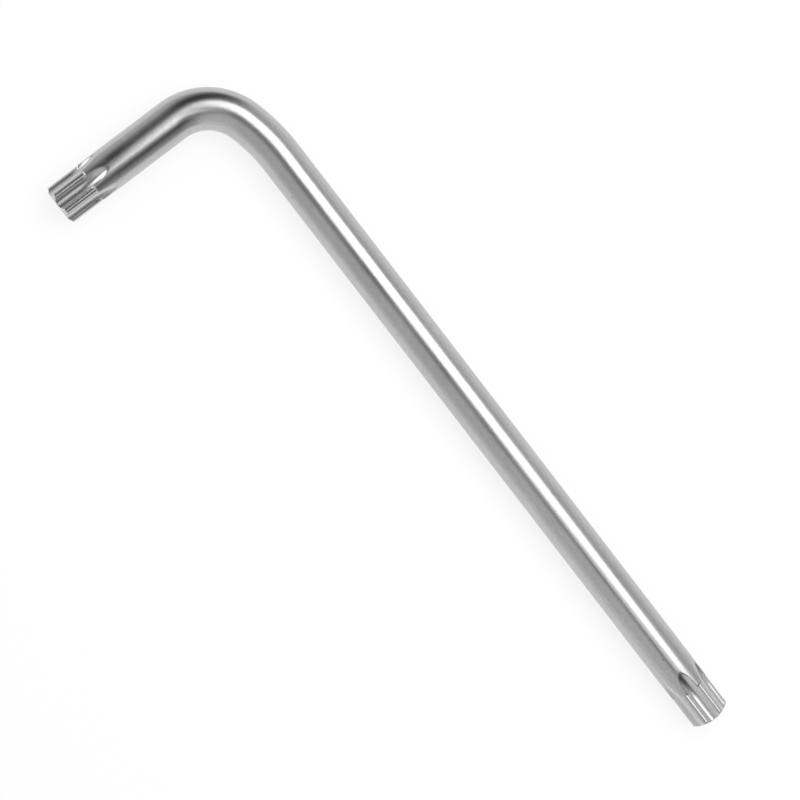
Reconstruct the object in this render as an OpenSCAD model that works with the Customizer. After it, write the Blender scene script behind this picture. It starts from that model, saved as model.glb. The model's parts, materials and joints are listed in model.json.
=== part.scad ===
// A star key: a round steel bar bent to a right angle, with a six-lobe star tip on each end.
// It lies flat, with the long arm along +X and the short arm along -Y. Millimetres.
// The origin is under the middle of its box, on the surface that it lies on.

/* [Bar] */
// Diameter of the round bar
bar_d = 9.1; // [9:0.1:12]
// Length of the long arm, from the outside of the short arm to the end of its tip
long_len = 176; // [90:1:260]
// Length of the short arm, from the outside of the long arm to the end of its tip
short_len = 48; // [40:0.5:90]
// Radius of the bend at the middle of the bar
bend_r = 12.4; // [8:0.1:20]
// Radius of the gentle curve that leads from the bend into the long arm
ease_r = 40; // [25:1:60]
// Turn of that gentle curve, in degrees
ease_turn = 16; // [4:1:30]

/* [Star] */
// Diameter over the lobes
lobe_d = 8.83; // [8.5:0.01:8.9]
// Diameter across the bottoms of the flutes
flute_d = 6.35; // [6:0.01:6.7]
// Radius of a flute's hollow
flute_r = 1.75; // [1.5:0.01:2]
// Length of the star, from the end of the tip to the shoulder
star_len = 7.8; // [4:0.1:14]
// How far the lobes are bevelled inwards at the end of the tip
end_bevel = 1; // [0.4:0.05:1.1]
// Length of that bevel along the tip
end_bevel_len = 0.6; // [0.2:0.05:1.5]

/* [Run-out] */
// Radius on which each flute climbs out of the star to the surface of the bar
runout_r = 18.5; // [12:0.5:24]
// How far the shoulder lies behind the place where the flutes begin to climb
shoulder_back = 2; // [1:0.1:3]
// Diameter to which the bar narrows by the shoulder, where it meets the star
shoulder_d = 8.95; // [8.92:0.01:9]
// Width and length of the bevel on that shoulder
shoulder = 0.5; // [0.2:0.05:0.6]
// Length of each tip's root, behind the flutes
root_len = 1; // [0.5:0.1:4]

/* [Turn of the stars] */
// Turn of the long arm's star, counter-clockwise seen from its end, in degrees from a flute on top
long_turn = 5; // [-30:1:30]
// Turn of the short arm's star, counter-clockwise seen from its end, in degrees from a flute on top
short_turn = -2; // [-30:1:30]

/* [Hidden] */
$fn = 128;
bar_colour = [0.6, 0.6, 0.61];
tip_colour = [0.72, 0.72, 0.73];
right_angle = 90;

// Star section: six round lobes on a hexagon, with a round flute between each two
lobes = 6;
lobe_step = 360 / lobes;
half_step = lobe_step / 2;
bar_r = bar_d / 2;
star_r = lobe_d / 2;
shoulder_r = shoulder_d / 2;
flute_at = flute_d / 2 + flute_r;
// The lobe's radius is the one at which its arc runs smoothly into the flutes beside it, and a
// hair more, so that the two arcs cross instead of only touching
arc_overlap = 0.01;
flute_reach = flute_at * cos(half_step);
arc_rest = star_r ^ 2 + flute_at ^ 2 - flute_r ^ 2 - 2 * star_r * flute_reach;
lobe_r = arc_rest / (2 * (flute_r + star_r - flute_reach)) + arc_overlap;
lobe_at = star_r - lobe_r;
// The hexagon's sides pass through the place where the arcs cross, and a hair further out
arc_gap = norm([flute_reach - lobe_at, flute_at * sin(half_step)]);
core_extra = 0.03;
core_reach = flute_at - flute_r * (flute_at - lobe_at * cos(half_step)) / arc_gap + core_extra;
core_r = core_reach / cos(half_step);

// Run-out: the flute climbs on a circle, from its full depth to the bar's surface
runout_depth = bar_r - flute_d / 2;
runout_turn = acos(1 - runout_depth / runout_r);
runout_len = runout_r * sin(runout_turn);
// The flute's tool carries on past the bar's surface by this turn, in degrees, and past the tip's
// end by this length
tool_turn = 5;
tool_over = 1;

// Places along each tip, from its joint face
climb_at = root_len + runout_len;
shoulder_at = climb_at - shoulder_back;
tip_len = shoulder_at + star_len;

// Where the middle lines of the two arms would cross
corner_x = bar_r - long_len / 2;
corner_y = short_len / 2 - bar_r;

// How far from that crossing the straight arms begin, and their straight lengths
ease_gain = ease_r - bend_r;
long_start = bend_r + ease_gain * sin(ease_turn);
short_start = ease_r - ease_gain * cos(ease_turn);
long_straight = long_len - bar_r - long_start - tip_len;
short_straight = short_len - bar_r - short_start - tip_len;

function on_circle(r, turn) = r * [cos(turn), sin(turn)];

module each_lobe() {
    for (k = [0:lobes - 1])
        rotate(k * lobe_step)
            children();
}

module each_flute() {
    rotate(half_step)
        each_lobe()
            children();
}

// The section before its flutes are cut
module lobe_section() {
    polygon([for (k = [0:lobes - 1]) on_circle(core_r, k * lobe_step)]);
    each_lobe()
        translate([lobe_at, 0])
            circle(r = lobe_r);
}

// What one flute takes away: straight along the star, then a ring segment that climbs out of the bar
module flute_tool() {
    translate([flute_at, 0, climb_at])
        cylinder(h = tip_len - climb_at + tool_over, r = flute_r);
    translate([flute_d / 2 + runout_r, 0, climb_at])
        rotate([-right_angle, 0, 2 * right_angle])
            rotate_extrude(angle = runout_turn + tool_turn)
                translate([runout_r - flute_r, 0])
                    circle(r = flute_r);
}

// The tip before its flutes are cut: the bar's end tapers slightly down to a bevelled shoulder,
// from which the lobes stand out to the bevel at their end
module tip_blank() {
    bevel_at = shoulder_at - shoulder;
    lobe_len = tip_len - bevel_at;
    bevel_slope = end_bevel / end_bevel_len;
    end_r = star_r - end_bevel;
    cylinder(h = bevel_at, r1 = bar_r, r2 = shoulder_r);
    translate([0, 0, bevel_at])
        cylinder(h = shoulder, r1 = shoulder_r, r2 = shoulder_r - shoulder);
    translate([0, 0, bevel_at])
        intersection() {
            linear_extrude(lobe_len)
                lobe_section();
            cylinder(h = lobe_len, r1 = end_r + bevel_slope * lobe_len, r2 = end_r);
        }
}

// One whole tip along +Z, from its joint face at the origin to its end, with a flute on the +X side
module star_tip(turn) {
    rotate(half_step + turn)
        difference() {
            tip_blank();
            each_flute()
                flute_tool();
        }
}

// Turns a piece that stands along +Z to lie along the long arm, starting at the given distance
module on_long_arm(start) {
    translate([corner_x + start, corner_y, bar_r])
        rotate([0, right_angle, 0])
            children();
}

// Turns a piece that stands along +Z to lie along the short arm, starting at the given distance
module on_short_arm(start) {
    translate([corner_x, corner_y - start, bar_r])
        rotate([right_angle, 0, 0])
            rotate(right_angle)
                children();
}

// The bar carried round a middle point, from the first angle through the turn
module bar_curve(middle, r, first, turn) {
    translate([middle.x, middle.y, bar_r])
        rotate(first)
            rotate_extrude(angle = turn)
                translate([r, 0])
                    circle(r = bar_r);
}

// The gentle curve that comes out of the bend, and the straight bar
module long_arm() {
    curve_middle = [corner_x + long_start, corner_y - ease_r];
    color(bar_colour)
        union() {
            bar_curve(curve_middle, ease_r, right_angle, ease_turn);
            on_long_arm(long_start)
                cylinder(h = long_straight, r = bar_r);
        }
}

module elbow() {
    bend_middle = [corner_x + bend_r, corner_y - short_start];
    color(bar_colour)
        bar_curve(bend_middle, bend_r, right_angle + ease_turn, right_angle - ease_turn);
}

module short_arm() {
    color(bar_colour)
        on_short_arm(short_start)
            cylinder(h = short_straight, r = bar_r);
}

module long_tip() {
    color(tip_colour)
        on_long_arm(long_start + long_straight)
            star_tip(long_turn);
}

module short_tip() {
    color(tip_colour)
        on_short_arm(short_start + short_straight)
            star_tip(short_turn);
}

long_arm();
elbow();
short_arm();
long_tip();
short_tip();
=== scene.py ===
# %% [markdown]
# # A star key in plated steel
#
# This lesson dresses a CAD model of a star key: a round steel bar, bent to an L, with a six-lobe
# star tip on each end. The solids give every size. Here each region of the bar gets a smooth
# surface worked out with numpy and a satin metal finish, and the key gets a plain studio to lie in.

# %% Load the solids as a fixed frame
import json

import bpy
import numpy as np
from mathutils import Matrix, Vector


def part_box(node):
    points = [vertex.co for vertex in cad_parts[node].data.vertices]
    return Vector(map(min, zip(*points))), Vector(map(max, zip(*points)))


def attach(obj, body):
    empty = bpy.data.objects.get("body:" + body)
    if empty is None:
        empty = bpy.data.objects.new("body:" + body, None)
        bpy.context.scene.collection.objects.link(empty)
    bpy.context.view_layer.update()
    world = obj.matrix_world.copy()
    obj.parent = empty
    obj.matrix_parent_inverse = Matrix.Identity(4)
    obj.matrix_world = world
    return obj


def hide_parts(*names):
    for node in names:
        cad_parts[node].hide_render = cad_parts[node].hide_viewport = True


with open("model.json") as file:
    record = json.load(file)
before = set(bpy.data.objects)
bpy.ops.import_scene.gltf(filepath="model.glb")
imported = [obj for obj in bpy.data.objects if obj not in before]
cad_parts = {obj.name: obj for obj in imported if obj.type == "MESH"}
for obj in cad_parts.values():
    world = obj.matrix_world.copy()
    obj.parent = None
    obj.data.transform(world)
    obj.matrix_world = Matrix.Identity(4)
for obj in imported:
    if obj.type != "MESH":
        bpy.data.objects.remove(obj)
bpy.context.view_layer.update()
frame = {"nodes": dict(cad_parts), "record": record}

print("solids:", sorted(frame["nodes"]))

# %% [markdown]
# ## The bar's own line
#
# Everything on the key follows one line: the middle of the bar, from the end of the short tip,
# round the bend, to the end of the long tip. Each length on it could be typed in, but most are in
# the frame already: the mounts give the bar's radius and where its middle lies, and the boxes of
# the nodes say where each region ends.
#
# A bar that is bent over a round former springs back a little, so the bend has two parts: a tight
# one by the short arm and a gentle one that leads into the long arm. Their radii and the gentle
# part's turn are those of the solids. Distances are in metres, as everywhere in Blender.

# %% Read the bar's line from the frame
MM = 0.001
mounts = {mount["name"]: mount for mount in frame["record"]["mounts"]}
bar_r = mounts["long_arm_shank"]["dims"]["r_mm"] * MM
short_axis_x, _, axis_z = mounts["short_arm_shank"]["pos_m"]

long_root, long_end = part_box("long_tip")[0].x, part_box("long_tip")[1].x
short_arm_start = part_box("short_arm")[1].y
short_end, short_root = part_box("short_tip")[0].y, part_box("short_tip")[1].y
tip_len = long_end - long_root

bend_r, ease_r = 12.4 * MM, 40 * MM
ease_turn = np.radians(16)
bend_turn = np.pi / 2 - ease_turn
print(f"bar radius {bar_r / MM:.2f} mm, tips {tip_len / MM:.2f} mm long")

# %% [markdown]
# ## A place on the bent bar
#
# A straight bar could be bent with a Curve modifier, but a formula keeps every size exact. A point
# of the bar is given by three numbers: how far along the middle line it is, and how far it stands
# to the outer side and up from that line. One function takes such straight coordinates to the
# bent key. On the short arm the line runs along +Y, then it turns on the tight circle and on the
# gentle one, and on the long arm it runs along +X.

# %% Straight bar to bent key
bend_start = short_arm_start - short_end
ease_start = bend_start + bend_r * bend_turn
ease_stop = ease_start + ease_r * ease_turn
straight_x = short_axis_x + bend_r + (ease_r - bend_r) * np.sin(ease_turn)
bar_stop = ease_stop + long_end - straight_x


def bent(along, outer, up):
    """Point on the key. The line's direction turns by the length along each circle over its radius.
    The middle line's x and y add up the two straight stretches, the arc of radius bend_r and the
    arc of radius ease_r, and the point stands off that line square to its direction."""
    in_bend = np.clip(along - bend_start, 0, bend_r * bend_turn) / bend_r
    in_ease = bend_turn + np.clip(along - ease_start, 0, ease_r * ease_turn) / ease_r
    before, after = np.minimum(along - bend_start, 0), np.maximum(along - ease_stop, 0)
    line_x = bend_r * (1 - np.cos(in_bend)) + ease_r * (np.cos(bend_turn) - np.cos(in_ease)) + after
    line_y = bend_r * np.sin(in_bend) + ease_r * (np.sin(in_ease) - np.sin(bend_turn)) + before
    turn = in_bend + in_ease - bend_turn
    x = short_axis_x + line_x - outer * np.cos(turn)
    y = short_arm_start + line_y + outer * np.sin(turn)
    return np.stack(np.broadcast_arrays(x, y, axis_z + up), axis=-1)


print(f"straightened bar: {bar_stop / MM:.1f} mm")

# %% [markdown]
# ## From a grid of points to a mesh
#
# Each surface below is a grid: rows are rings along the bar, columns go round it. One helper
# turns such a grid into a closed mesh. It joins neighbouring rings with quads, closes the last
# column to the first, and shuts both ends with a fan of triangles round a middle point.
#
# The helper also stores where each point would be if the bar were straightened out. The finish
# reads that attribute, so its grain runs round the bend with the bar instead of through it.

# %% Grid to mesh
def ring_quads(here, beside):
    """Quads between neighbouring rings. here numbers the points, one row for each ring, and beside
    gives the number of each point's neighbour in its ring."""
    return np.stack([here[:-1], here[1:], beside[1:], beside[:-1]], axis=-1).reshape(-1, 4)


def ring_mesh(name, rings, unbent):
    """A closed mesh from rings of points, shape (rings, points, 3), each ring turning from up
    towards the outer side of the L, and the rings in order along the bar. unbent has the same
    shape and holds each point's place on the straightened bar."""
    count, around, _ = rings.shape
    points = np.concatenate([rings.reshape(-1, 3), rings[[0, -1]].mean(axis=1)])
    straight = np.concatenate([unbent.reshape(-1, 3), unbent[[0, -1]].mean(axis=1)])
    here = np.arange(count * around).reshape(count, around)
    beside = np.roll(here, -1, axis=1)
    first_middle = np.full(around, count * around)
    last_middle = first_middle + 1
    fans = np.concatenate([
        np.stack([first_middle, here[0], beside[0]], axis=-1),
        np.stack([last_middle, beside[-1], here[-1]], axis=-1),
    ])
    mesh = bpy.data.meshes.new(name)
    mesh.from_pydata(points.tolist(), [], ring_quads(here, beside).tolist() + fans.tolist())
    place = mesh.attributes.new("unbent", "FLOAT_VECTOR", "POINT")
    place.data.foreach_set("vector", straight.astype(np.float32).ravel())
    return mesh


# %% [markdown]
# ## The round bar
#
# Both arms and the bend are the same thing: a circle carried along the line. A bevelled curve
# would give that too, but not the place on the straightened bar that the finish needs. The
# straight stretches need few rings, and the two parts of the bend many, closer together at their
# ends, so that the shading there runs on smoothly.

# %% Round stretches of the bar
BAR_COLUMNS = 192


def round_stretch(name, along):
    """Circle of the bar's radius, carried along the middle line: at each distance along it the
    point is at radius * (sin, cos) of the angle round the bar, to the outer side and up."""
    angle = np.linspace(0, 2 * np.pi, BAR_COLUMNS, endpoint=False)
    along, angle = np.meshgrid(along, angle, indexing="ij")
    outer, up = bar_r * np.sin(angle), bar_r * np.cos(angle)
    return ring_mesh(name, bent(along, outer, up), np.stack([along, outer, up], axis=-1))


def eased(start, stop, count):
    """Distances from start to stop that lie closer together at both ends."""
    return start + (stop - start) * (1 - np.cos(np.linspace(0, np.pi, count))) / 2


# %% The two arms and the elbow
short_root_at = short_root - short_end
long_root_at = bar_stop - tip_len
long_rows = np.append(eased(ease_start, ease_stop, 49)[:-1], np.linspace(ease_stop, long_root_at, 97))
round_meshes = {
    "short_arm": round_stretch("short_arm_bar", np.linspace(short_root_at, bend_start, 25)),
    "elbow": round_stretch("elbow_bend", eased(bend_start, ease_start, 97)),
    "long_arm": round_stretch("long_arm_bar", long_rows),
}
print("points:", {node: len(mesh.vertices) for node, mesh in round_meshes.items()})

# %% [markdown]
# ## The star tips
#
# A star tip is six round lobes with six hollow flutes between them. A flute climbs out of the bar
# on a gentle curve, so it ends in a run-out: a sunken, rounded point in the bar's surface. Between
# two run-outs the bar reaches forward in a tongue, which ends in a small bevelled shoulder. From
# there on the lobes are a little thinner than the bar, and their ends are bevelled.
#
# The sizes come first. The lobes' radius isn't free: it is the one at which each lobe runs smoothly
# into the flutes beside it, so it is worked out instead of typed in.

# %% Sizes of the star, as in the solids
star_r = 8.83 / 2 * MM
flute_bottom_r = 6.35 / 2 * MM
flute_r = 1.75 * MM
star_len = 7.8 * MM
end_bevel, end_bevel_len = 1.0 * MM, 0.6 * MM
runout_r = 18.5 * MM
shoulder_back = 2.0 * MM
shoulder_r, shoulder = 8.95 / 2 * MM, 0.5 * MM
flute_turns = {"long_tip": np.radians(-5), "short_tip": np.radians(-2)}

# %% Sizes that follow from them
half_step = np.pi / 6
flute_at = flute_bottom_r + flute_r
flute_reach = flute_at * np.cos(half_step)
lobe_r = (star_r ** 2 + flute_at ** 2 - flute_r ** 2 - 2 * star_r * flute_reach) / (
    2 * (flute_r + star_r - flute_reach))
lobe_at = star_r - lobe_r
core_reach = flute_at - flute_r * (flute_at - lobe_at * np.cos(half_step)) / (flute_r + lobe_r)
shoulder_at = tip_len - star_len
climb_at = shoulder_at + shoulder_back
runout_depth = bar_r - flute_bottom_r
runout_at = climb_at - np.sqrt(runout_depth * (2 * runout_r - runout_depth))
print(f"lobe radius {lobe_r / MM:.2f} mm, run-outs start {runout_at / MM:.2f} mm from the root")

# %% [markdown]
# ## A tip as a distance
#
# The flutes could be cut with boolean modifiers, but their edges are knife-sharp, and real edges
# are a little round and catch the light. So the tip is written as a distance: how far a point is
# outside the metal. Where two shapes overlap, the larger of their distances counts, and a smooth
# maximum of the two also rounds the edge where they meet.

# %% Distance to the metal of a tip
EDGE = 0.16 * MM


def smooth_max(a, b, width):
    """The larger of two distances, with the change-over rounded where they differ by less than width."""
    near = np.maximum(width - np.abs(a - b), 0)
    return np.maximum(a, b) + near ** 2 / (4 * width)


def tip_distance(r, turn, z):
    """How far a point is outside the metal, where r is its distance from the middle line, turn its
    angle from the nearest lobe and z its distance from the tip's root.

    flute: distance to a round tool of radius flute_r, whose middle runs straight in the star and
    climbs on a circle of radius runout_r - flute_r before that. bar: a slight taper, cut by a 45
    degree bevel at the shoulder. lobe: a cylinder round lobe_at, on a hexagon that fills the
    middle. end: the cone that bevels the lobes."""
    across = np.abs(turn)
    flute_x, flute_y = r * np.cos(half_step - across), r * np.sin(half_step - across)
    behind = np.maximum(climb_at - z, 0)
    ring = np.hypot(flute_bottom_r + runout_r - flute_x, behind) - (runout_r - flute_r)
    flute = np.hypot(ring, flute_y) - flute_r

    bevel_at = shoulder_at - shoulder
    taper = bar_r + (shoulder_r - bar_r) * z / bevel_at
    bevel = (r - shoulder_r + z - bevel_at) / np.sqrt(2)
    bar = smooth_max(smooth_max(r - taper, bevel, EDGE), -flute, EDGE)

    lobe = np.hypot(r * np.cos(across) - lobe_at, r * np.sin(across)) - lobe_r
    finger = np.minimum(lobe, flute_x - core_reach)
    end_slope = end_bevel / end_bevel_len
    end = (r - star_r + end_bevel - end_slope * (tip_len - z)) / np.hypot(1, end_slope)
    star = smooth_max(np.maximum(finger, -flute), end, EDGE)
    return np.minimum(bar, np.where(z < bevel_at, 1.0, star))


print(f"distance of the bar's skin at the root: {tip_distance(bar_r, 0.0, 0.0) / MM:.3f} mm")

# %% [markdown]
# ## The skin of a tip
#
# The surface is where that distance is zero. Cutting space into small cubes would find it too, but
# would leave uneven triangles, which show in a shiny metal. Here rays go out from the middle line,
# ring by ring, and each ray leaves the metal at one place. Halving an interval finds that place,
# for all rays at once. The rings lie close together where the shape changes fast.

# %% Rays to the surface
HALVINGS = 36


def tip_surface(turn, z):
    """Radius of the tip on each ray: the middle of an interval that is halved until it has closed
    on the place where the distance to the metal changes sign."""
    inside = np.full(np.broadcast(turn, z).shape, 0.9 * flute_bottom_r)
    outside = np.full_like(inside, 1.1 * bar_r)
    for _ in range(HALVINGS):
        middle = (inside + outside) / 2
        metal = tip_distance(middle, turn, z) < 0
        inside = np.where(metal, middle, inside)
        outside = np.where(metal, outside, middle)
    return (inside + outside) / 2


# %% Rings along a tip
END_ROUND = 0.08 * MM


def tip_rows():
    """Distances from the root at which the tip has a ring: root, run-outs (closer together where
    they begin), shoulder, the rest of the climb, full flutes and the bevel at the end."""
    shoulder_from, shoulder_to = shoulder_at - 0.8 * MM, shoulder_at + 0.5 * MM
    bevel_from = tip_len - end_bevel_len - 0.2 * MM
    return np.concatenate([
        np.linspace(0, runout_at, 5)[:-1],
        runout_at + (shoulder_from - runout_at) * np.linspace(0, 1, 60)[:-1] ** 1.6,
        np.linspace(shoulder_from, shoulder_to, 42)[:-1],
        np.linspace(shoulder_to, climb_at, 16)[:-1],
        np.linspace(climb_at, bevel_from, 8)[:-1],
        np.linspace(bevel_from, tip_len - END_ROUND, 26),
    ])


print(f"a tip has {len(tip_rows())} rings before its rounded end")

# %% Both star tips
TIP_COLUMNS = 480


def star_tip(name, flute_turn, root_at, direction):
    """The tip as rings from its root to its end, then a rounded edge and a flat end face that
    shrinks to the middle. direction is +1 where the tip points along the bar's line, else -1."""
    angle = np.linspace(0, 2 * np.pi, TIP_COLUMNS, endpoint=False)
    turn = (angle - flute_turn) % (2 * half_step) - half_step
    quarter = np.linspace(0, np.pi / 2, 6)[1:]
    z = np.concatenate([tip_rows(), tip_len - END_ROUND * (1 - np.sin(quarter))])
    radius = tip_surface(turn[None], z[:, None])
    radius[-len(quarter):] -= END_ROUND * (1 - np.cos(quarter))[:, None]
    shrink = np.linspace(1, 0.05, 10)[1:]
    z = np.append(z, np.full(len(shrink), tip_len))
    radius = np.concatenate([radius, radius[-1] * shrink[:, None]])
    if direction < 0:
        z, radius = z[::-1], radius[::-1]
    along = np.broadcast_to((root_at + direction * z)[:, None], radius.shape)
    outer, up = radius * np.sin(angle), radius * np.cos(angle)
    return ring_mesh(name, bent(along, outer, up), np.stack([along, outer, up], axis=-1))


tip_meshes = {
    "long_tip": star_tip("long_tip_star", flute_turns["long_tip"], long_root_at, 1),
    "short_tip": star_tip("short_tip_star", flute_turns["short_tip"], short_root_at, -1),
}
print("points:", {node: len(mesh.vertices) for node, mesh in tip_meshes.items()})

# %% [markdown]
# ## Two finishes of one plating
#
# The key is steel with a thin coat of nickel. The steel below looks tumbled, so the coat is satin and
# softly uneven, with a fine grain and a few small pits. In the flutes the metal was cut, so there it
# has fine lines along the cut, and it is a little brighter: partly from the cut, and partly as painted
# light that stands in for what the flutes reflect.
#
# A metal shows what is round it, so a painted pattern alone would look flat. The detail is mostly
# relief, from three sizes of noise and the pits, and a roughness that changes from place to place.
# Grain and pits change the tone a little too, so that they still show where the reflection is even:
# grain at random, and the pits darker, as a painted shade in them.
#
# All of it reads the straightened bar's place. That place also tells skin from cut: a point of a
# flute lies nearer to the middle line than the skin.

# %% A small helper for shader nodes
def add_node(tree, kind, settings=None, **inputs):
    """Adds a shader node, sets its properties, and fills its inputs with values or links. An
    input's name is its socket's name in lower case, with underscores for spaces."""
    node = tree.nodes.new(kind)
    for key, value in (settings or {}).items():
        setattr(node, key, value)
    sockets = {}
    for socket in node.inputs:
        sockets.setdefault(socket.name.lower().replace(" ", "_"), socket)
    for key, value in inputs.items():
        if isinstance(value, bpy.types.NodeSocket):
            tree.links.new(value, sockets[key])
        else:
            sockets[key].default_value = value
    return node


# %% Noise and relief
def noise(tree, place, size, stretch=1.0, detail=2.0):
    """Noise with features of about the given size in metres, stretched along the bar."""
    scaled = add_node(tree, "ShaderNodeMapping", vector=place, scale=(1 / stretch, 1, 1))
    made = add_node(tree, "ShaderNodeTexNoise", vector=scaled.outputs[0], scale=1 / size, detail=detail)
    return made.outputs[0]


def relief(tree, height, depth, below=None, share=1.0):
    """Bump of the given depth in metres, on top of another bump, in full where share is 1."""
    bump = add_node(tree, "ShaderNodeBump", strength=share, distance=depth, height=height)
    if below is not None:
        tree.links.new(below, bump.inputs["Normal"])
    return bump.outputs[0]


# %% Ranges, mixtures and products
def spread(tree, value, low, high, start=0.3, stop=0.7, kind="LINEAR"):
    """Maps a value between start and stop, as most of a noise is, to the range from low to high."""
    made = add_node(tree, "ShaderNodeMapRange", {"interpolation_type": kind}, value=value,
                    from_min=start, from_max=stop, to_min=low, to_max=high)
    return made.outputs[0]


def mixed(tree, share, first, second):
    """Goes from the first grey to the second as share goes from 0 to 1. Either is a number or a link."""
    made = add_node(tree, "ShaderNodeMix", factor=share, a=first, b=second)
    return made.outputs[0]


def combine(tree, operation, first, second):
    """Two values put together with one sum, product or the like."""
    made = add_node(tree, "ShaderNodeMath", {"operation": operation})
    tree.links.new(first, made.inputs[0])
    tree.links.new(second, made.inputs[1])
    return made.outputs[0]


# %% Cut metal and pits
PIT_GAP = 7 * MM
PIT_FLOOR, PIT_RIM = 0.015, 0.05


def cut_share(tree, place):
    """1 in the flutes and 0 on the bar's skin, from the distance to the middle line."""
    across = add_node(tree, "ShaderNodeMapping", vector=place, scale=(0, 1, 1))
    radius = add_node(tree, "ShaderNodeVectorMath", {"operation": "LENGTH"}, vector=across.outputs[0])
    return spread(tree, radius.outputs["Value"], 1.0, 0.0, 0.90 * bar_r, 0.96 * bar_r)


def pits(tree, place):
    """0 in a pit and 1 outside it, from the distance to the nearest of many scattered points. The
    pit's floor and rim are given as shares of the gap between two such points."""
    points = add_node(tree, "ShaderNodeTexVoronoi", vector=place, scale=1 / PIT_GAP, randomness=1.0)
    return spread(tree, points.outputs["Distance"], 0.0, 1.0, PIT_FLOOR, PIT_RIM)


print(f"pits are about {2 * PIT_RIM * PIT_GAP / MM:.1f} mm wide")

# %% The plated finish
UM = 0.001 * MM
CLOUD, WAVES, GRAIN, LINES = 6 * MM, 2.2 * MM, 0.5 * MM, 0.3 * MM
# Grain varies the tone at random; the pit shade is painted shade in the pits.
GRAIN_SHADES, PIT_PAINTED_SHADE = (0.95, 1.05), 0.7


def plated_metal(name, skin_tones, cut_and_painted_light_tones, roughness):
    """Satin plating: tone and roughness drift by noise, and relief comes from slow waves, fine grain
    and scattered pits. In the flutes the tone changes and lines along the bar are added."""
    material = bpy.data.materials.new(name)
    material.use_nodes = True
    tree = material.node_tree
    shader = tree.nodes["Principled BSDF"]
    shader.inputs["Metallic"].default_value = 1.0
    place = add_node(tree, "ShaderNodeAttribute", {"attribute_name": "unbent"}).outputs["Vector"]

    cut = cut_share(tree, place)
    pit = pits(tree, place)
    cloud = noise(tree, place, CLOUD, stretch=2.0, detail=3.0)
    waves = noise(tree, place, WAVES, stretch=2.5, detail=1.0)
    grain = noise(tree, place, GRAIN, stretch=1.6)
    lines = noise(tree, place, LINES, stretch=40.0, detail=3.0)

    drift = spread(tree, cloud, 0.0, 1.0)
    # Lighter tone in the flutes: partly the cut metal, partly painted light.
    tone = mixed(tree, cut, mixed(tree, drift, *skin_tones), mixed(tree, drift, *cut_and_painted_light_tones))
    # Darker tone in the pits: painted shade.
    pit_painted_shade = spread(tree, pit, PIT_PAINTED_SHADE, 1.0, 0.0, 1.0)
    grain_tone_and_pit_painted_shade = combine(tree, "MULTIPLY", spread(tree, grain, *GRAIN_SHADES), pit_painted_shade)
    tree.links.new(combine(tree, "MULTIPLY", tone, grain_tone_and_pit_painted_shade), shader.inputs["Base Color"])
    tree.links.new(spread(tree, cloud, *roughness), shader.inputs["Roughness"])

    normal = relief(tree, waves, 4 * UM)
    normal = relief(tree, lines, 2 * UM, normal, cut)
    normal = relief(tree, grain, 7 * UM, normal)
    normal = relief(tree, pit, 15 * UM, normal)
    tree.links.new(normal, shader.inputs["Normal"])
    return material


# %% Finishes of the bar and of the tips
satin = plated_metal(
    "satin_plating", skin_tones=(0.48, 0.52), cut_and_painted_light_tones=(0.50, 0.54), roughness=(0.21, 0.27))
# The tips' finish: the flutes' lighter tone is partly painted light.
tip_plating_painted_light = plated_metal(
    "bright_plating", skin_tones=(0.48, 0.52), cut_and_painted_light_tones=(0.58, 0.64), roughness=(0.22, 0.28))
print("finishes:", satin.name, "with", len(satin.node_tree.nodes), "nodes, and", tip_plating_painted_light.name)

# %% [markdown]
# ## The pieces in place
#
# Each surface now takes the place of its solid, which stays hidden under it for the simulation.
# Shading is smooth except at edges that turn sharply, such as where the ends are shut. An angle
# finds those edges, which is less work than marking them one by one.

# %% Put the pieces in place
SHARP_TURN = np.radians(50)


def add_piece(mesh, node, material):
    """Puts a mesh in the scene in the place of a CAD node, smooth except at its sharp edges."""
    mesh.shade_smooth()
    mesh.set_sharp_from_angle(angle=SHARP_TURN)
    mesh.materials.append(material)
    piece = bpy.data.objects.new(mesh.name, mesh)
    bpy.context.scene.collection.objects.link(piece)
    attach(piece, "root")
    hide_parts(node)
    print(f"{piece.name}: {len(mesh.polygons)} faces")


for node, mesh in round_meshes.items():
    add_piece(mesh, node, satin)
for node, mesh in tip_meshes.items():
    add_piece(mesh, node, tip_plating_painted_light)

# %% [markdown]
# ## The white table
#
# The key lies on a white table. More light would make the table white, but it would burn out the
# metal too, and a table that only glows would lose the key's shadow. So the table does both: it is
# a dull grey that takes light and shadow, and a glow that is there only for what looks at it brings
# it up to white. The glow is a painted pool of light: strong round the key and falling off outside
# it, so that the bar's sides show a darker table further away.

# %% Table
FLOOR = 4.0
floor_mesh = bpy.data.meshes.new("table_top")
floor_mesh.from_pydata(
    [(-FLOOR, -FLOOR, 0), (FLOOR, -FLOOR, 0), (FLOOR, FLOOR, 0), (-FLOOR, FLOOR, 0)], [], [(0, 1, 2, 3)])
floor = bpy.data.objects.new("table_top", floor_mesh)
bpy.context.scene.collection.objects.link(floor)
print(f"table {2 * FLOOR:.0f} m wide")


# %% What looks at a surface
def seen_ray(tree):
    """1 for what the camera, a reflection or clear glass sees directly, else 0."""
    rays = add_node(tree, "ShaderNodeLightPath").outputs
    first = combine(tree, "MAXIMUM", rays["Is Camera Ray"], rays["Is Glossy Ray"])
    return combine(tree, "MAXIMUM", first, rays["Is Transmission Ray"])


# %% The table's surface
WHITE = (1, 1, 1, 1)
TABLE_GREY = (0.22, 0.22, 0.22, 1)
POOL_GLOW, RIM_GLOW = 0.80, 0.25
POOL_R, RIM_R = 0.13, 0.24

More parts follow.
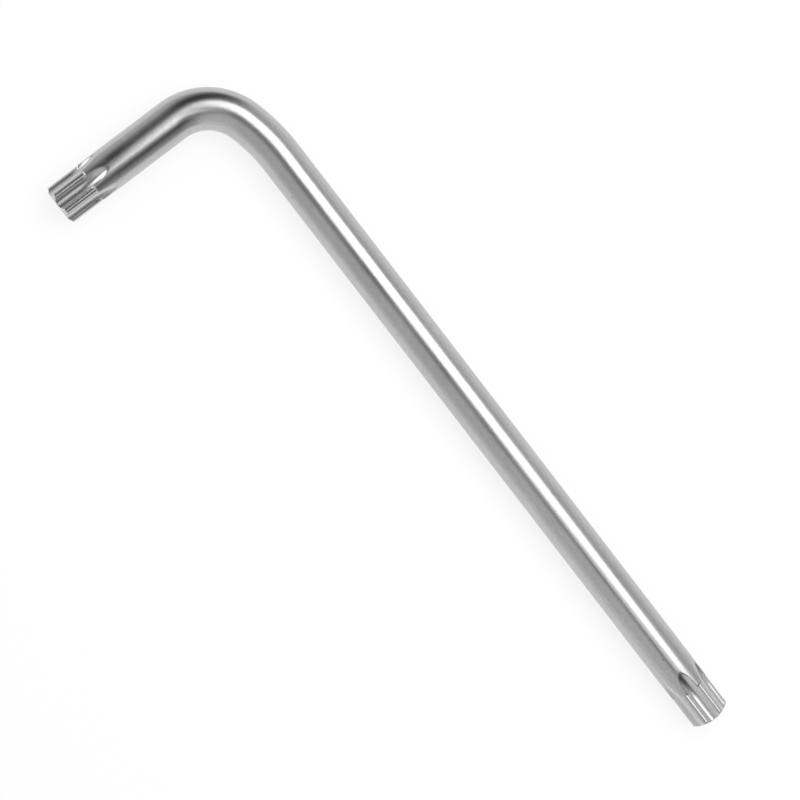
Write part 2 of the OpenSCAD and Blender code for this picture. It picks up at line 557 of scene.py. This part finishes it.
white_table = bpy.data.materials.new("white_table")
white_table.use_nodes = True
tree = white_table.node_tree
tree.nodes.clear()
place = add_node(tree, "ShaderNodeTexCoord").outputs["Object"]
away = add_node(tree, "ShaderNodeVectorMath", {"operation": "LENGTH"}, vector=place).outputs["Value"]
# Painted pool of light: the glow falls off away from the key.
pool = spread(tree, away, POOL_GLOW, RIM_GLOW, POOL_R, RIM_R)
glow_with_painted_pool = combine(tree, "MULTIPLY", seen_ray(tree), pool)
dull = add_node(tree, "ShaderNodeBsdfDiffuse", color=TABLE_GREY)
glow = add_node(tree, "ShaderNodeEmission", color=WHITE, strength=glow_with_painted_pool)
table_sum = add_node(tree, "ShaderNodeAddShader")
tree.links.new(dull.outputs[0], table_sum.inputs[0])
tree.links.new(glow.outputs[0], table_sum.inputs[1])
add_node(tree, "ShaderNodeOutputMaterial", surface=table_sum.outputs[0])
floor_mesh.materials.append(white_table)
print(f"pool of white, {2 * POOL_R:.2f} m wide")

# %% [markdown]
# ## The white room
#
# The world is the light that comes from everywhere. A sky texture would tint the metal, so it is
# plain white. It looks white, but it lights things less strongly than it looks, so that pale
# surfaces keep their tone.

# %% World
ROOM_LIGHT, ROOM_WHITE = 0.6, 1.0
world = bpy.data.worlds.new("white_room")
bpy.context.scene.world = world
world.use_nodes = True
tree = world.node_tree
background = tree.nodes["Background"]
background.inputs["Color"].default_value = WHITE
room_strength = spread(tree, seen_ray(tree), ROOM_LIGHT, ROOM_WHITE, 0.0, 1.0)
tree.links.new(room_strength, background.inputs["Strength"])
print(f"world: {ROOM_LIGHT} as light, {ROOM_WHITE} as seen")

# %% [markdown]
# ## What the metal shows
#
# A shiny bar is a picture of the room round it. If all of that were white, the bar would look flat,
# so a photographer hangs pale and dark cloth and white cards round the key. Each could be a plane
# of its own, but soft edges are easier to paint: here all of them are on the inside of one tent,
# half a ball over the table, which only reflections see.
#
# A place on the tent stands for a direction: x runs along the long arm to its tip, y to the outer
# side of the L and z up, each from -1 to 1. Soft steps along such directions give the brightness.

# %% The tent's shape
TENT_R = 2.0
TENT_GAP = 0.02


def tent_points(around, upward):
    """Half a ball of radius TENT_R over the table: a circle round the middle whose radius is the
    cosine of the height angle, at the sine of that angle. A small gap is left at its foot and top."""
    turn = np.linspace(0, 2 * np.pi, around, endpoint=False)
    height = np.linspace(TENT_GAP, np.pi / 2 - TENT_GAP, upward)
    turn, height = np.meshgrid(turn, height)
    points = np.stack([np.cos(turn) * np.cos(height), np.sin(turn) * np.cos(height), np.sin(height)], axis=-1)
    return TENT_R * points


def tent_mesh(points):
    """Quads between the tent's circles, and one face that closes its top."""
    upward, around, _ = points.shape
    here = np.arange(upward * around).reshape(upward, around)
    quads = ring_quads(here, np.roll(here, -1, axis=1))
    mesh = bpy.data.meshes.new("light_tent")
    mesh.from_pydata(points.reshape(-1, 3).tolist(), [], quads.tolist() + [here[-1, ::-1].tolist()])
    return mesh


tent = bpy.data.objects.new("light_tent", tent_mesh(tent_points(64, 24)))
bpy.context.scene.collection.objects.link(tent)
tent.visible_camera = tent.visible_diffuse = tent.visible_shadow = tent.visible_transmission = False
print(f"tent: {len(tent.data.polygons)} faces")


# %% Soft steps and directions
def fade(tree, value, start, stop, low=0.0, high=1.0):
    """A soft step from low to high, where value goes from start to stop."""
    return spread(tree, value, low, high, start, stop, "SMOOTHSTEP")


def towards(tree, place, direction):
    """How far a place lies in a direction: the sum of the products of their coordinates."""
    made = add_node(tree, "ShaderNodeVectorMath", {"operation": "DOT_PRODUCT"})
    tree.links.new(place, made.inputs[0])
    made.inputs[1].default_value = direction
    return made.outputs["Value"]


tent_cloth = bpy.data.materials.new("tent_cloth")
tent_cloth.use_nodes = True
tree = tent_cloth.node_tree
tree.nodes.clear()
place = add_node(tree, "ShaderNodeTexCoord").outputs["Object"]
scaled = add_node(tree, "ShaderNodeVectorMath", {"operation": "SCALE"}, vector=place, scale=1 / TENT_R)
facing = scaled.outputs["Vector"]
x, y, z = add_node(tree, "ShaderNodeSeparateXYZ", vector=facing).outputs
print("directions on the tent:", x.name, y.name, z.name)

# %% [markdown]
# ## Pale and dark cloth
#
# Pale cloth hangs on the inner and outer side of the L, with a darker strip between the two right
# above the key, and gets a little brighter towards the table. Beyond the elbow and beyond the long
# tip there is a gap with almost black cloth. The short arm shows that as two dark bands, which give
# the round bar its shape. Near the table the dark cloth catches some light.

# %% Pale cloth on both sides of the long arm
INNER_CLOTH, STRIP_ABOVE = 0.61, 0.24
OUTER_CLOTH, OUTER_FOOT = 0.60, 0.74
TIP_GAIN, FOOT_LIFT = 1.18, 0.20
inner = fade(tree, towards(tree, facing, (-0.15, 1, 0)), -0.52, -0.28, INNER_CLOTH, STRIP_ABOVE)
inner = combine(tree, "MULTIPLY", inner, fade(tree, x, 0.02, 0.28, 1.0, TIP_GAIN))
outer = combine(tree, "MAXIMUM", fade(tree, y, 0.30, 0.60, 0.0, OUTER_CLOTH),
                fade(tree, y, 0.78, 0.98, 0.0, OUTER_FOOT))
foot = fade(tree, z, 0.05, 0.40, FOOT_LIFT, 0.0)
cloth = combine(tree, "ADD", combine(tree, "MAXIMUM", inner, outer), foot)
print(f"cloth: {INNER_CLOTH} inside the L, {STRIP_ABOVE} above it, {OUTER_CLOTH} outside")

# %% Where that cloth ends
off_middle = fade(tree, combine(tree, "MULTIPLY", y, y), 0.15 ** 2, 0.35 ** 2)
elbow_corners = combine(tree, "MULTIPLY", off_middle, fade(tree, x, -0.70, -0.25))
elbow_edge = combine(tree, "MAXIMUM", fade(tree, x, -0.55, -0.20), elbow_corners)
tip_edge = combine(tree, "MAXIMUM", fade(tree, x, 0.45, 0.78, 1.0, 0.0),
                   fade(tree, towards(tree, facing, (1, 1, 0)), 0.45, 0.70, 1.0, 0.0))
cloth = combine(tree, "MULTIPLY", cloth, combine(tree, "MULTIPLY", elbow_edge, tip_edge))
print("nodes so far:", len(tree.nodes))

# %% Dark cloth in the gaps
NEARLY_BLACK = 0.01
ELBOW_FOOT, TIP_FOOT = 0.60, 0.45
dark_foot = fade(tree, towards(tree, facing, (0, 0.8, 1)), 0.20, 0.95, 1.0, 0.0)
dark_foot = combine(tree, "MULTIPLY", dark_foot, fade(tree, x, -0.6, 0.6, ELBOW_FOOT, TIP_FOOT))
dark_cloth = fade(tree, dark_foot, 0.0, 1.0, NEARLY_BLACK, 1.0)
print(f"dark cloth: {NEARLY_BLACK} at its top")

# %% [markdown]
# ## White cards
#
# Two round cards are added where one place of the key has to shine. The flutes of the tips show
# the first, which hangs on the inner side of the L, beyond the elbow. The second, almost straight
# above, makes the bright band wider at the far end of the long arm, where the soft lamp of the next
# step falls short. Small lamps could do this, but they would light the table too.

# %% Two cards, and the tent's brightness
INNER_CARD, FAR_CARD = 2.2, 1.5
INNER_CARD_AT, FAR_CARD_AT = (-0.65, -0.55, 0.53), (0.25, -0.05, 0.967)
inner_card = fade(tree, towards(tree, facing, INNER_CARD_AT), 0.90, 0.935, 0.0, INNER_CARD)
far_card = fade(tree, towards(tree, facing, FAR_CARD_AT), 0.988, 0.9988, 0.0, FAR_CARD)
brightness = cloth
for layer in (dark_cloth, inner_card, far_card):
    brightness = combine(tree, "MAXIMUM", brightness, layer)
glow = add_node(tree, "ShaderNodeEmission", color=WHITE, strength=brightness)
add_node(tree, "ShaderNodeOutputMaterial", surface=glow.outputs[0])
tent.data.materials.append(tent_cloth)
print("tent cloth:", len(tree.nodes), "nodes")

# %% [markdown]
# ## The soft light
#
# The white band along the bar is the reflection of a large soft lamp, which hangs close to the key
# on the long arm's outer side. It could be a glowing mesh, but an area lamp gives less noise. The
# band's edges are the lamp's oval rim, blurred by the satin finish, so its shape, place and turn
# set them. Its power is worked out from how bright its face is, so the band keeps its brightness
# if the lamp's size changes.

# %% Soft light
SOFT_RADIANCE = 2.1
SOFT_TURN = np.radians(-10)
soft_light = bpy.data.lights.new("soft_light", "AREA")
soft_light.shape = "ELLIPSE"
soft_light.size, soft_light.size_y = 0.620, 0.380
soft_area = np.pi * soft_light.size * soft_light.size_y / 4
soft_light.energy = SOFT_RADIANCE * np.pi * soft_area
soft_box = bpy.data.objects.new("soft_light", soft_light)
soft_box.location = (-0.013, 0.212, 0.450)
soft_box.rotation_euler = soft_box.location.to_track_quat("Z", "Y").to_euler()
soft_box.rotation_euler.rotate_axis("Z", SOFT_TURN)
bpy.context.scene.collection.objects.link(soft_box)
soft_box.visible_camera = False
print(f"soft light: {soft_light.energy:.2f} W")

# %% [markdown]
# ## The camera
#
# The photograph looks almost straight down on the key, with the long arm running from upper left
# to lower right. Its lens is a long one, so the perspective is slight. A constraint could aim the
# camera at the key, but three angles also fix how it is turned.

# %% Camera
LENS_IN_FRAME_WIDTHS = 2.5
camera = bpy.data.cameras.new("camera")
camera.sensor_width = 36
camera.lens = camera.sensor_width * LENS_IN_FRAME_WIDTHS
eye = bpy.data.objects.new("camera", camera)
eye.location = (-0.03575, -0.03048, 0.4273)
eye.rotation_euler = np.radians((0.18, -6.42, 52.13))
bpy.context.scene.collection.objects.link(eye)
bpy.context.scene.camera = eye
bpy.context.scene.view_settings.view_transform = "Standard"
print(f"lens {camera.lens:.0f} mm, {eye.location.z:.2f} m above the table")

# %% [markdown]
# ## Same size as the solids
#
# New surfaces must not change the size of the key. The sizes of the solids are in model.json, and
# this step prints that file's name.

# %% Where the sizes of the solids are
print("sizes are in", file.name)
